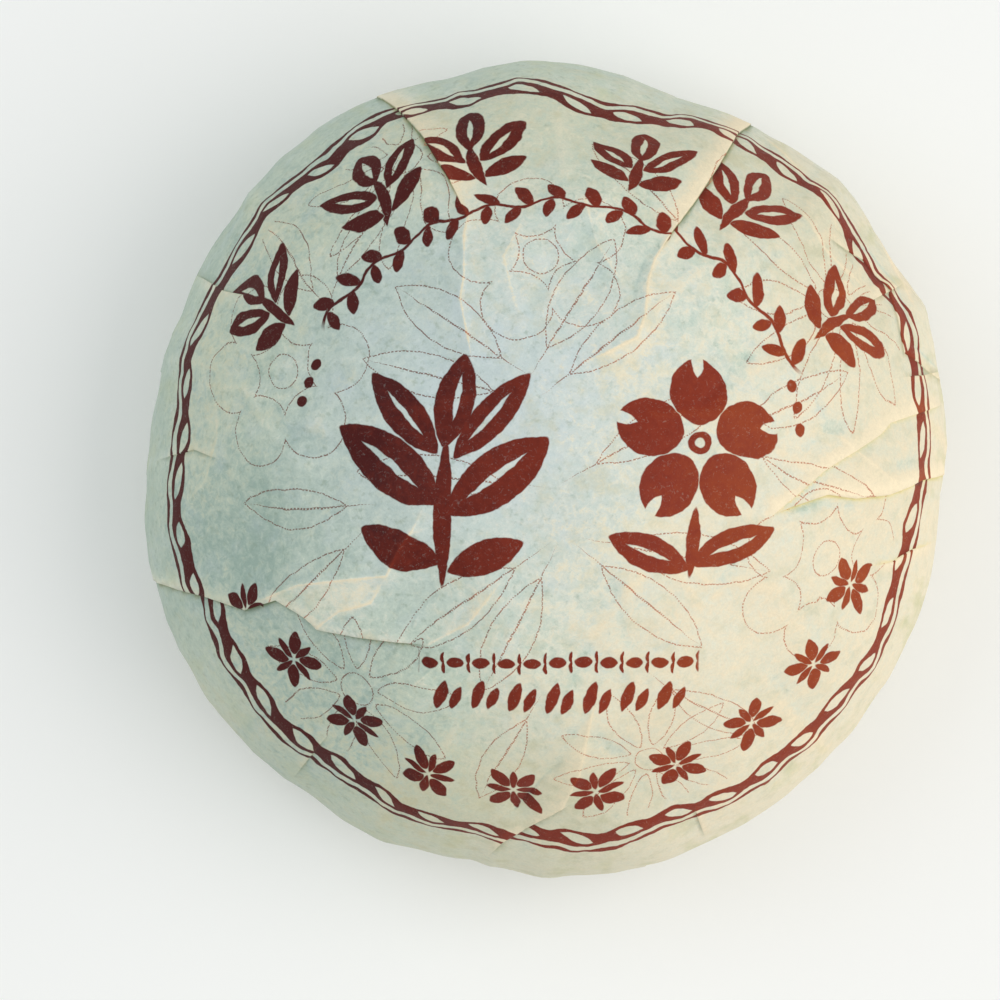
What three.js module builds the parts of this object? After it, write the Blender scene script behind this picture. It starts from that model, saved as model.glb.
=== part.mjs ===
// A bowl-shaped cake of pressed tea in its thin paper wrapper, standing on its rim, dome up.
// The wrapper is drawn tight over the dome, gathered in pleats round the rim, carried down
// into the hollow underneath and twisted there into a short tail.
//
// Millimetres, +Z up. Seen from above, +X is to the right and +Y is away from the viewer.
// The origin is on the ground, under the middle of the cake.

import * as THREE from "three";

// Overall size
const RADIUS = 55; // mean radius where the cake is widest
const HEIGHT = 56; // ground to crown
const WIDEST_AT = 14; // height of the widest ring above the ground

// Shape of the dome: how far the flat crown reaches, and where the flank turns steep
const CROWN_REACH = 29;
const SHOULDER_RADIUS = 54.5;
const SHOULDER_HEIGHT = 38;

// The flat ring that the cake stands on
const FOOT_OUTER_RADIUS = 46;
const FOOT_INNER_RADIUS = 40;

// The hollow underneath
const MOUTH_RADIUS = 31.5;
const MOUTH_HEIGHT = 9;
const HOLLOW_DEPTH = 31;
const TAIL_ROOT_RADIUS = 11;

// The twisted tail of paper that hangs in the middle of the hollow
const NECK_RADIUS = 3.8;
const NECK_HEIGHT = 23;
const TUFT_RADIUS = 6.6;
const TUFT_HEIGHT = 16;
const TUFT_DIMPLE_HEIGHT = 16;

// How far each bend of the section is drawn out: the handles of its curves, as [across, up]
const RIM_HANDLES = { widest: [0, -9], foot: [6, 0] };
const MOUTH_HANDLES = { foot: [-4, 0], mouth: [1.5, -6] };
const HOLLOW_HANDLES = { mouth: [-2.5, 13], root: [11, -1] };
const NECK_HANDLES = { root: [-5, 0], neck: [0, 5] };
const TUFT_HANDLES = { neck: [0, -4], tuft: [0, 3] };
const END_HANDLES = { tuft: [0, -1.4], dimple: [3.3, -1.4] };

// Mesh rows along each stretch of the section
const ROWS = { dome: 24, rim: 6, foot: 1, mouth: 3, hollow: 7, neck: 3, tuft: 3, end: 2 };

// Where each pleat's edge meets the rim, in degrees anticlockwise from +X
const PLEAT_EDGES = [
  -15, -2, 12, 31, 45, 58, 76, 95, 114, 132, 151, 166, 181, 201, 215, 230, 247, 265, 284, 303, 324,
];

// Mesh columns across one pleat, as shares of its width: the last step is the fold's edge
const PLEAT_COLUMNS = [0, 0.3, 0.6, 0.85, 0.96];

// How far a pleat's folded edge stands above its root
const RIM_PLEAT_DEPTH = 0.9;
const HOLLOW_PLEAT_DEPTH = 1.5;
const TAIL_PLEAT_DEPTH = 0.9;
const PLEAT_START_HEIGHT = 26; // the pleats begin below this height on the flank
const PLEAT_FULL_HEIGHT = 6; // and have their full depth below this one
const PLEAT_PRESSED_SHARE = 0.6; // from this share of the rim on they are pressed flat to the foot

// The gathered paper winds round the hollow, and faster round the tail
const HOLLOW_SWIRL = 35;
const TAIL_SWIRL = 150;
const NECK_TURN_SHARE = 0.6; // share of the tail's winding that its neck takes

// Corners of the slightly uneven outline: angle in degrees, and the change of radius there
const OUTLINE_CORNERS = [
  [0, -1.3], [24, 0.7], [30, -0.4], [45, 0.7], [57, -0.5], [71, -1.5], [91, 0.8], [105, 0.1],
  [121, 1.2], [145, -0.1], [157, -1.0], [177, -0.8], [198, 0.6], [215, 0.8], [234, 0.0],
  [246, 0.5], [259, -0.5], [270, 0.6], [288, 0.8], [305, 0.0], [330, -0.5], [348, -1.4],
];
const OUTLINE_START_RADIUS = 30; // the outline's unevenness grows from here outwards

// Flaps of slack paper folded over on the dome. Each path is seen from above, and the upper
// sheet lies to the left of it. The flap's edge fades out at the inner end of the path.
const FLAPS = [
  { path: [[-26, 54], [-20, 48], [-16.5, 43.5], [-13, 37.5], [-10.5, 32.5]], height: 0.9 },
  { path: [[13.5, 27], [16, 31], [19, 35], [22, 39.5], [25, 44.5], [31, 50]], height: 0.8 },
  { path: [[28, -6.5], [36, -3.5], [44, -3.5], [49.5, -1.5], [58, 0]], height: 1.1 },
  { path: [[-56, -15], [-44.5, -17], [-35, -17], [-30, -21], [-15, -23]], height: 1.3 },
  { path: [[-4, -57], [-3.5, -48], [1.5, -46], [2.5, -41], [5.5, -32.5]], height: 0.9 },
];
const FLAP_EDGE_WIDTH = 1.2; // half the width over which the step rises
const FLAP_SPREAD = 11; // how far the upper sheet takes to settle back
const FLAP_FADE = 9; // length over which the step dies out at its inner end
const FLANK_RELIEF = 0.45; // share of the folds' height that is left on the steep flank
const FLANK_SHARE = 0.6; // the flank starts at this share of the way down the dome
const RIM_FADE = [0.2, 0.8]; // stretch of the rim over which the last of the folds dies out

// Creases standing up (positive height) or sunk (negative height) in the paper
const CREASES = [
  { path: [[-10.5, 32.5], [-11, 27.5], [-11, 21.5], [-9.5, 11]], height: 0.6 },
  { path: [[13.5, 27], [12, 19.5], [7, 14.5]], height: 0.6 },
  { path: [[28, -6.5], [35.5, -0.5], [45, 6], [54, 9]], height: 0.8 },
  { path: [[-36, -16.5], [-27.5, -14.5], [-21, -14], [-17.5, -8]], height: 0.7 },
  { path: [[-15, -23], [-8.5, -17.5], [-7, -16]], height: 0.6 },
  { path: [[2, -37.5], [-3.5, -44], [-5.5, -46], [-7, -54]], height: -0.7 },
  { path: [[38, 24], [45.5, 23.5], [50, 14.5], [56, 10]], height: -0.5 },
  { path: [[-55, 29], [-47, 26], [-41, 22.5]], height: -0.5 },
  { path: [[-56, -2], [-47.5, -1], [-42.5, 0.5]], height: -0.4 },
  { path: [[41, -13.5], [46, -12.5], [54, -9]], height: -0.5 },
];
const CREASE_WIDTH = 2.2;
const CREASE_FADE = 6;

// Low unevenness of the pressed leaves under the paper
const LUMP_HEIGHT = 0.22;
const LUMP_WAVES = [
  { x: 0.31, y: 0.17, phase: 0.4 },
  { x: -0.14, y: 0.36, phase: 2.1 },
  { x: 0.22, y: -0.29, phase: 4.0 },
];

const PAPER = { color: 0xe0dfc8, roughness: 0.62, metalness: 0 };

function smoothStep(low, high, value) {
  return THREE.MathUtils.smoothstep(value, low, high);
}

// A bend of the section from start to end, with a handle at each
function bend(start, startHandle, endHandle, end) {
  const from = new THREE.Vector2(...start);
  const to = new THREE.Vector2(...end);
  const leave = from.clone().add(new THREE.Vector2(...startHandle));
  const arrive = to.clone().add(new THREE.Vector2(...endHandle));
  return new THREE.CubicBezierCurve(from, leave, arrive, to);
}

// The section from the crown, over the rim and up into the hollow, to the end of the tail
function sectionStretches() {
  const crown = [0, HEIGHT];
  const widest = [RADIUS, WIDEST_AT];
  const footOuter = [FOOT_OUTER_RADIUS, 0];
  const footInner = [FOOT_INNER_RADIUS, 0];
  const mouth = [MOUTH_RADIUS, MOUTH_HEIGHT];
  const root = [TAIL_ROOT_RADIUS, HOLLOW_DEPTH];
  const neck = [NECK_RADIUS, NECK_HEIGHT];
  const tuft = [TUFT_RADIUS, TUFT_HEIGHT];
  const dimple = [0, TUFT_DIMPLE_HEIGHT];
  const shoulder = [SHOULDER_RADIUS - RADIUS, SHOULDER_HEIGHT - WIDEST_AT];
  return {
    dome: bend(crown, [CROWN_REACH, 0], shoulder, widest),
    rim: bend(widest, RIM_HANDLES.widest, RIM_HANDLES.foot, footOuter),
    foot: new THREE.LineCurve(new THREE.Vector2(...footOuter), new THREE.Vector2(...footInner)),
    mouth: bend(footInner, MOUTH_HANDLES.foot, MOUTH_HANDLES.mouth, mouth),
    hollow: bend(mouth, HOLLOW_HANDLES.mouth, HOLLOW_HANDLES.root, root),
    neck: bend(root, NECK_HANDLES.root, NECK_HANDLES.neck, neck),
    tuft: bend(neck, TUFT_HANDLES.neck, TUFT_HANDLES.tuft, tuft),
    end: bend(tuft, END_HANDLES.tuft, END_HANDLES.dimple, dimple),
  };
}

// Every row of the mesh: its point on the section, the stretch it belongs to, how far along
// that stretch it lies, and the section's outward normal there
function sectionRows() {
  const rows = [];
  for (const [stretch, shape] of Object.entries(sectionStretches())) {
    const points = shape.getSpacedPoints(ROWS[stretch]);
    points.forEach((point, index) => {
      if (rows.length === 0 || index > 0) {
        rows.push({ stretch, share: index / ROWS[stretch], radius: point.x, height: point.y });
      }
    });
  }
  rows[rows.length - 1].radius = 0;
  rows.forEach((row, index) => {
    const before = rows[Math.max(index - 1, 0)];
    const after = rows[Math.min(index + 1, rows.length - 1)];
    const onAxis = row.radius === 0;
    const along = onAxis
      ? new THREE.Vector2(1, 0)
      : new THREE.Vector2(after.radius - before.radius, after.height - before.height).normalize();
    const upwards = index === 0 ? 1 : -1;
    row.normal = onAxis ? new THREE.Vector2(0, upwards) : new THREE.Vector2(-along.y, along.x);
  });
  return rows;
}

// The angle of each mesh column, in degrees, and its share of the way across its pleat
function pleatColumns() {
  const columns = [];
  PLEAT_EDGES.forEach((start, index) => {
    const end = index + 1 < PLEAT_EDGES.length ? PLEAT_EDGES[index + 1] : PLEAT_EDGES[0] + 360;
    for (const share of PLEAT_COLUMNS) {
      columns.push({ angle: start + share * (end - start), share });
    }
  });
  columns.push({ angle: columns[0].angle + 360, share: 0 });
  return columns;
}

// How far the outline stands outside (or inside) the mean circle at an angle
function outlineOffset(angle) {
  const turned = THREE.MathUtils.euclideanModulo(angle, 360);
  const corners = [...OUTLINE_CORNERS, [OUTLINE_CORNERS[0][0] + 360, OUTLINE_CORNERS[0][1]]];
  const next = corners.findIndex(([cornerAngle]) => cornerAngle > turned);
  const [startAngle, startOffset] = corners[next - 1];
  const [endAngle, endOffset] = corners[next];
  return THREE.MathUtils.lerp(startOffset, endOffset, (turned - startAngle) / (endAngle - startAngle));
}

// Where a point lies from a path: its distance, the side it is on (positive to the left of the
// path), and how far along the path the nearest place is from the end that is nearer the crown
function placeByPath(point, path) {
  const corners = path.map(([x, y]) => new THREE.Vector2(x, y));
  const nearest = { distance: Infinity, side: 0, fromInnerEnd: 0 };
  let passed = 0;
  for (let index = 0; index + 1 < corners.length; index += 1) {
    const start = corners[index];
    const run = corners[index + 1].clone().sub(start);
    const reach = point.clone().sub(start);
    const share = THREE.MathUtils.clamp(reach.dot(run) / run.lengthSq(), 0, 1);
    const distance = reach.distanceTo(run.clone().multiplyScalar(share));
    if (distance < nearest.distance) {
      nearest.distance = distance;
      nearest.side = Math.sign(run.cross(reach));
      nearest.fromInnerEnd = passed + share * run.length();
    }
    passed += run.length();
  }
  if (corners[0].length() > corners[corners.length - 1].length()) {
    nearest.fromInnerEnd = passed - nearest.fromInnerEnd;
  }
  return nearest;
}

function flapRelief(point) {
  let relief = 0;
  for (const { path, height } of FLAPS) {
    const { distance, side, fromInnerEnd } = placeByPath(point, path);
    const step = smoothStep(-FLAP_EDGE_WIDTH, FLAP_EDGE_WIDTH, side * distance);
    const settle = Math.exp(-((distance / FLAP_SPREAD) ** 2));
    relief += height * step * settle * smoothStep(0, FLAP_FADE, fromInnerEnd);
  }
  return relief;
}

function creaseRelief(point) {
  let relief = 0;
  for (const { path, height } of CREASES) {
    const { distance, fromInnerEnd } = placeByPath(point, path);
    relief += height * Math.exp(-distance / CREASE_WIDTH) * smoothStep(0, CREASE_FADE, fromInnerEnd);
  }
  return relief;
}

function lumpRelief(point) {
  let relief = 0;
  for (const { x, y, phase } of LUMP_WAVES) {
    relief += LUMP_HEIGHT * Math.sin(x * point.x + y * point.y + phase);
  }
  return relief;
}

// Depth of the pleats on each stretch of the section: none on the crown, none on the flat foot,
// deepest in the hollow, and none where the tail closes
function pleatDepth({ stretch, share, height }) {
  const growth = 1 - smoothStep(PLEAT_FULL_HEIGHT, PLEAT_START_HEIGHT, height);
  const depths = {
    dome: RIM_PLEAT_DEPTH * growth,
    rim: RIM_PLEAT_DEPTH * growth * (1 - smoothStep(PLEAT_PRESSED_SHARE, 1, share)),
    foot: 0,
    mouth: HOLLOW_PLEAT_DEPTH * smoothStep(0, 1, share),
    hollow: HOLLOW_PLEAT_DEPTH,
    neck: THREE.MathUtils.lerp(HOLLOW_PLEAT_DEPTH, TAIL_PLEAT_DEPTH, share),
    tuft: TAIL_PLEAT_DEPTH,
    end: TAIL_PLEAT_DEPTH * (1 - smoothStep(0, 1, share)),
  };
  return depths[stretch];
}

// How far the gathers have wound round, in degrees
function swirl({ stretch, share }) {
  const neckSwirl = THREE.MathUtils.lerp(HOLLOW_SWIRL, TAIL_SWIRL, NECK_TURN_SHARE);
  const turns = {
    hollow: HOLLOW_SWIRL * share ** 2,
    neck: THREE.MathUtils.lerp(HOLLOW_SWIRL, neckSwirl, share),
    tuft: THREE.MathUtils.lerp(neckSwirl, TAIL_SWIRL, share),
    end: TAIL_SWIRL,
  };
  return turns[stretch] ?? 0;
}

// How much of the folds and lumps shows: they lie flatter on the steep flank, and fade out
// round the rim, above the flat foot
function outsideShare({ stretch, share }) {
  if (stretch === "dome") {
    return THREE.MathUtils.lerp(1, FLANK_RELIEF, smoothStep(FLANK_SHARE, 1, share));
  }
  return stretch === "rim" ? FLANK_RELIEF * (1 - smoothStep(...RIM_FADE, share)) : 0;
}

// How much of the outline's unevenness shows: none on the crown and none in the hollow
function outlineShare({ stretch, share, radius }) {
  if (stretch === "dome") {
    return smoothStep(OUTLINE_START_RADIUS, RADIUS, radius);
  }
  return { rim: 1, foot: 1, mouth: 1 - share }[stretch] ?? 0;
}

function wrapperPoint(row, column) {
  const radius = row.radius + outlineShare(row) * outlineOffset(column.angle);
  const angle = THREE.MathUtils.degToRad(column.angle + swirl(row));
  const above = new THREE.Vector2(radius * Math.cos(angle), radius * Math.sin(angle));
  const outside = outsideShare(row);
  const folds = outside > 0 ? flapRelief(above) + creaseRelief(above) + lumpRelief(above) : 0;
  const pleat = pleatDepth(row) * (column.share - 0.5);
  const relief = outside * folds + pleat;
  const reach = radius + relief * row.normal.x;
  return new THREE.Vector3(
    reach * Math.cos(angle),
    reach * Math.sin(angle),
    row.height + relief * row.normal.y,
  );
}

function wrappedCakeGeometry() {
  const rows = sectionRows();
  const columns = pleatColumns();
  const profile = rows.map(({ radius, height }) => new THREE.Vector2(radius, height)).reverse();
  const geometry = new THREE.LatheGeometry(profile, columns.length - 1);
  const position = geometry.attributes.position;
  columns.forEach((column, columnIndex) => {
    rows.forEach((row, rowIndex) => {
      const vertex = columnIndex * rows.length + (rows.length - 1 - rowIndex);
      position.setXYZ(vertex, ...wrapperPoint(row, column).toArray());
    });
  });
  standOnOrigin(geometry);
  geometry.computeVertexNormals();
  return geometry;
}

// Puts the ground under the foot, and the origin under the middle of the outline
function standOnOrigin(geometry) {
  geometry.computeBoundingBox();
  const box = geometry.boundingBox;
  geometry.translate(-(box.min.x + box.max.x) / 2, -(box.min.y + box.max.y) / 2, -box.min.z);
}

const wrappedTuocha = new THREE.Mesh(wrappedCakeGeometry(), new THREE.MeshStandardMaterial(PAPER));
wrappedTuocha.name = "wrapped_tuocha";

const group = new THREE.Group();
group.add(wrappedTuocha);

export default group;
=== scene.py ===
import math
import random

import bmesh
import bpy
import numpy as np
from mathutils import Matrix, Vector, noise


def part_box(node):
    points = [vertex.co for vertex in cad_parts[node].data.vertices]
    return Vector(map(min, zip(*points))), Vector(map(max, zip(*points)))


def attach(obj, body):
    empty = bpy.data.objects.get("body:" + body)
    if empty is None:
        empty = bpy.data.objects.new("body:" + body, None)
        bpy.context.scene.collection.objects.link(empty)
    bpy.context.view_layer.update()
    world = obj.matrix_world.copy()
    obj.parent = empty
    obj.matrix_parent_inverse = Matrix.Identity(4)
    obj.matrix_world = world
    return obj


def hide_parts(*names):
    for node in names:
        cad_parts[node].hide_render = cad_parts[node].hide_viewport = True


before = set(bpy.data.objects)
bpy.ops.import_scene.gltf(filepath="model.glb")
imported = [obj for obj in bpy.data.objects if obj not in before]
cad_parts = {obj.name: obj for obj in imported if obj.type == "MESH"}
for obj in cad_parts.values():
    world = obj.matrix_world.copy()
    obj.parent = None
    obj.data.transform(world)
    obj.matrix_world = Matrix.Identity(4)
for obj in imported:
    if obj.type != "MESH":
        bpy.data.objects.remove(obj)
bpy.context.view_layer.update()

# A bowl-shaped cake of pressed tea in its printed paper wrapper, seen from straight above.
# The wrapper is modelled in millimetres, and becomes metres when it is fitted to its solid.

CAKE = "wrapped_tuocha"
draw = random.Random(7)

# ---------------------------------------------------------------- the cake's section

RADIUS = 55
HEIGHT = 56
WIDEST_AT = 14
FOOT_OUTER = 46
FOOT_INNER = 40
HOLLOW_RIM = (31.5, 9)
HOLLOW_TOP = (11, 31)
TAIL_WAIST = (3.8, 23)
TAIL_RADIUS = 6.6
TAIL_TIP_HEIGHT = 16

# Each stretch of the section from the crown to the end of the tail: its four corners as
# (radius, height), and the mesh rows along it
SECTION = {
    "dome": ([(0, HEIGHT), (29, HEIGHT), (54.5, 38), (RADIUS, WIDEST_AT)], 130),
    "rim": ([(RADIUS, WIDEST_AT), (RADIUS, 5), (52, 0), (FOOT_OUTER, 0)], 24),
    "foot": ([(FOOT_OUTER, 0), (44, 0), (42, 0), (FOOT_INNER, 0)], 4),
    "mouth": ([(FOOT_INNER, 0), (36, 0), (33, 3), HOLLOW_RIM], 12),
    "hollow": ([HOLLOW_RIM, (29, 22), (22, 30), HOLLOW_TOP], 30),
    "neck": ([HOLLOW_TOP, (6, 31), (3.8, 28), TAIL_WAIST], 12),
    "tuft": ([TAIL_WAIST, (3.8, 19), (TAIL_RADIUS, 19), (TAIL_RADIUS, TAIL_TIP_HEIGHT)], 8),
    "end": ([(TAIL_RADIUS, TAIL_TIP_HEIGHT), (TAIL_RADIUS, 14.6), (3.3, 14.6), (0, TAIL_TIP_HEIGHT)], 6),
}
# A place along the section is its stretch's number, from 0 for the dome, plus the share of the
# way along it
RIM, FOOT, MOUTH, HOLLOW, NECK, TUFT, END = range(1, len(SECTION))

# Where each pleat's edge meets the rim, in degrees anticlockwise from +X
PLEAT_EDGES = [
    -15, -2, 12, 31, 45, 58, 76, 95, 114, 132, 151, 166, 181, 201, 215, 230, 247, 265, 284, 303, 324,
]
COLUMNS_PER_PLEAT = 19
PLEAT_LAP = 0.985  # share of a pleat's width at which its edge drops to the next one
RIM_PLEAT_DEPTH = 0.9
FOOT_PLEAT_DEPTH = 0.4
HOLLOW_PLEAT_DEPTH = 1.5
TAIL_PLEAT_DEPTH = 0.9
PLEAT_START_HEIGHT = 17
PLEAT_FULL_HEIGHT = 6
# How far round the pleats have wound at the end of the hollow, the neck and the tuft, in degrees
HOLLOW_SWIRL = 35
NECK_SWIRL = 104
TAIL_SWIRL = 150

# Corners of the slightly uneven outline: angle in degrees, and the change of radius there
OUTLINE_CORNERS = [
    (0, -1.3), (24, 0.7), (30, -0.4), (45, 0.7), (57, -0.5), (71, -1.5), (91, 0.8), (105, 0.1),
    (121, 1.2), (145, -0.1), (157, -1.0), (177, -0.8), (198, 0.6), (215, 0.8), (234, 0.0),
    (246, 0.5), (259, -0.5), (270, 0.6), (288, 0.8), (305, 0.0), (330, -0.5), (348, -1.4),
]
OUTLINE_START_RADIUS = 30

# ---------------------------------------------------------------- folds in the paper

# What a fold's row holds. Its path is seen from above, and the upper sheet lies to the left of
# it. That sheet stands up by "height" at its edge, settles over "spread", and dies out over
# "fade" towards the crown. "hidden" is the width of printed paper that the fold covers, and
# "slip" how far to either side the print has moved with it. The paper has lifted by "slack"
# over a "band" beside the edge.
FOLD_PARTS = ("height", "spread", "fade", "hidden", "slip", "slack", "band", "path")


def folds(rows):
    return [dict(zip(FOLD_PARTS, row)) for row in rows]


# Flaps of slack paper folded over on the dome
FLAPS = folds([
    (0.42, 9, 8, 7.5, 17, 0.75, 3.0, [(-26, 54), (-22.5, 50), (-20, 48), (-16.5, 43.5),
        (-13, 37.5), (-10.5, 32.5)]),
    (0.45, 8, 8, 5, 17, 0.8, 2.4, [(13.5, 27), (16, 31), (19, 35), (22, 39.5), (25, 44.5),
        (31, 50)]),
    (0.42, 5, 5, 4, 15, 0.7, 1.6, [(28, -6.5), (30, -5.5), (36, -3.5), (39.5, -4), (44, -3.5),
        (49.5, -1.5), (58, 0)]),
    (0.65, 5, 6, 4, 15, 0.55, 1.2, [(-56, -14.5), (-44.5, -17), (-39.5, -18.5), (-35, -17),
        (-31.5, -19.5), (-30, -21), (-24.5, -22), (-15, -23)]),
])

# Small tucks in the border, which lie flat again at both ends
TUCKS = folds([
    (0.4, 3, 4, 2.6, 5, 0.4, 1.2, [(-8.5, -52.5), (-6.1, -49.8), (-3.4, -48.2), (0.5, -46),
        (3, -44)]),
    (0.18, 3, 4, 1.6, 4, 0.4, 0.8, [(-34.5, -42), (-31.7, -38.4), (-28.7, -34.7)]),
    (0.22, 3, 4, 2.2, 4, 0.4, 0.8, [(-53, 1), (-50, 1.8), (-47, 2.5), (-42.5, 1)]),
    (0.3, 3, 4, 5.0, 5, 0.5, 1.2, [(-39, 22.5), (-43, 23.5), (-46.4, 25.6), (-49, 27)]),
    (0.2, 3, 4, 1.8, 4, 0.4, 0.8, [(41.6, 21.8), (45.5, 23.8), (48, 25.2)]),
    (0.2, 3, 4, 2, 4, 0.4, 0.8, [(54, 13.4), (50, 12.4), (46.5, 12)]),
    (0.2, 3, 4, 1.8, 4, 0.4, 0.8, [(52.5, -9.8), (48.5, -11), (46, -12.5), (42, -13.4)]),
    (0.18, 3, 3.5, 1.2, 4, 0.4, 0.8, [(19, -44), (20, -47), (21.3, -50)]),
    (0.16, 4, 4, 0.8, 5, 0.55, 1.5, [(27.5, -7), (30, -5), (35.5, -0.5), (43.5, 4.5), (45, 6),
        (54, 9)]),
    (0.16, 3, 4, 0.8, 4, 0.3, 0.8, [(36, 31), (42, 28), (45.4, 23.7), (47.4, 15.6), (52.1, 12.5),
        (55, 11)]),
])
FLAP_STEP = 0.12  # width of the cut strip that stands up as the flap's edge
FLANK_RELIEF = 0.45

# Creases standing up (positive height) or sunk (negative height) in the paper. The paper to the left of a
# standing crease has lifted off the tea, and is painted lighter there as the crease's lit side.
CREASES = [{"height": height, "path": path} for height, path in [
    (0.6, [(-14.5, 40), (-10.5, 32.5), (-11, 30), (-11, 24.5), (-11.5, 21.5), (-9.5, 11)]),
    (0.6, [(17.5, 33), (13.5, 27), (12.5, 24), (12, 19.5), (11, 16.5), (7, 14.5), (3, 13)]),
    (-0.5, [(13, 28), (12.3, 27), (11, 23.5), (10.4, 20)]),
    (0.7, [(-15.5, -4), (-17.5, -8), (-19.5, -11), (-21, -14), (-27.5, -14.5), (-32, -15),
        (-38, -17.5)]),
    (0.5, [(-31, -21.5), (-27, -18.5), (-23, -17.5), (-20.5, -13)]),
    (0.5, [(-17, -23.5), (-10.5, -20), (-8.5, -17.5), (-5, -13)]),
    (0.4, [(-12.5, -24), (-18, -28.5)]),
    (-0.6, [(2.5, -36.6), (1.4, -38.6), (-0.7, -40.7), (-2.1, -42.8), (-4.5, -45.6),
        (-5.5, -47)]),
    (0.5, [(1, -46.5), (3.8, -40), (5.1, -33), (6.5, -28)]),
    (-0.5, [(37, 32), (43, 29), (46.6, 24.4), (48.8, 16.4), (53.4, 13)]),
    (0.3, [(-3, 33), (-6, 27), (-4, 19)]),
    (0.3, [(4, 36), (6, 29), (11, 21)]),
    (0.35, [(-48, -5), (-45, -2), (-43.5, 4), (-44, 10)]),
    (0.4, [(31, 37), (36, 29), (42, 24)]),
    (0.3, [(49, -3), (44, -1.5), (38, 4), (33, 5)]),
    (0.3, [(-40, 24), (-37, 30), (-33, 33)]),
    (0.4, [(29, 45), (35.5, 38), (39, 30)]),
    (0.4, [(44, 33), (46.5, 27), (49.5, 20)]),
]]
CREASE_WIDTH = 0.8
CREASE_SHOULDER = 3.0
CREASE_FADE = 6
CREASE_END = 2.5
CREASE_CUT = 0.24
CREASE_SHARP_SHARE = 0.6
SMALL_CREASES = 120
SMALL_CREASE_WIDTH = 0.8

# ---------------------------------------------------------------- making the wrapper


def smooth_step(low, high, value):
    share = np.clip((value - low) / (high - low), 0, 1)
    return share * share * (3 - 2 * share)


def bend_point(corners, share):
    weights = (
        (1 - share) ** 3,
        3 * (1 - share) ** 2 * share,
        3 * (1 - share) * share ** 2,
        share ** 3,
    )
    radius = sum(weight * corner[0] for weight, corner in zip(weights, corners))
    height = sum(weight * corner[1] for weight, corner in zip(weights, corners))
    return radius, height


def spaced_shares(corners, rows):
    """Shares along a bend at which its rows lie equally far apart."""
    fine = np.linspace(0, 1, 400)
    radius, height = bend_point(corners, fine)
    lengths = np.concatenate([[0], np.cumsum(np.hypot(np.diff(radius), np.diff(height)))])
    return np.interp(np.linspace(0, lengths[-1], rows + 1), lengths, fine)


def section_rows():
    """Every row of the section: place, stretch number and share along it, normal, and the
    length of paper from the crown."""
    along, radii, heights = [], [], []
    for number, (corners, rows) in enumerate(SECTION.values()):
        for index, share in enumerate(spaced_shares(corners, rows)):
            if number == 0 or index > 0:
                radius, height = bend_point(corners, share)
                along.append(number + index / rows)
                radii.append(radius)
                heights.append(height)
    along, radii, heights = np.array(along), np.array(radii), np.array(heights)
    radii[-1] = 0
    slope_radius, slope_height = np.gradient(radii), np.gradient(heights)
    steep = np.hypot(slope_radius, slope_height)
    normal = np.stack([-slope_height / steep, slope_radius / steep])
    normal[:, 0] = (0, 1)
    normal[:, -1] = (0, -1)
    paper = np.concatenate([[0], np.cumsum(np.hypot(np.diff(radii), np.diff(heights)))])
    return {"along": along, "radius": radii, "height": heights, "normal": normal, "paper": paper}


ROWS = section_rows()


def pleat_columns():
    """The angle of each column of the mesh, and its share of the way across its pleat."""
    shares = [index / (COLUMNS_PER_PLEAT - 1) * PLEAT_LAP for index in range(COLUMNS_PER_PLEAT)]
    ends = PLEAT_EDGES[1:] + [PLEAT_EDGES[0] + 360]
    return [
        (start + share * (end - start), share)
        for start, end in zip(PLEAT_EDGES, ends)
        for share in shares
    ]


COLUMNS = pleat_columns()


def outline_offset(angle):
    angles = [corner[0] for corner in OUTLINE_CORNERS]
    offsets = [corner[1] for corner in OUTLINE_CORNERS]
    return np.interp(angle, angles, offsets, period=360)


def outline_share(along, radius):
    """How much of the outline's unevenness shows: none on the crown and none in the hollow."""
    dome = smooth_step(OUTLINE_START_RADIUS, RADIUS, radius)
    mouth = np.clip(HOLLOW - along, 0, 1)
    return np.where(along < RIM, dome, mouth)


def swirl(along):
    """How far the gathers have wound round at a place along the section, in degrees."""
    hollow = HOLLOW_SWIRL * np.clip(along - HOLLOW, 0, 1) ** 2
    neck = (NECK_SWIRL - HOLLOW_SWIRL) * np.clip(along - NECK, 0, 1)
    tuft = (TAIL_SWIRL - NECK_SWIRL) * np.clip(along - TUFT, 0, 1)
    return hollow + neck + tuft


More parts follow.
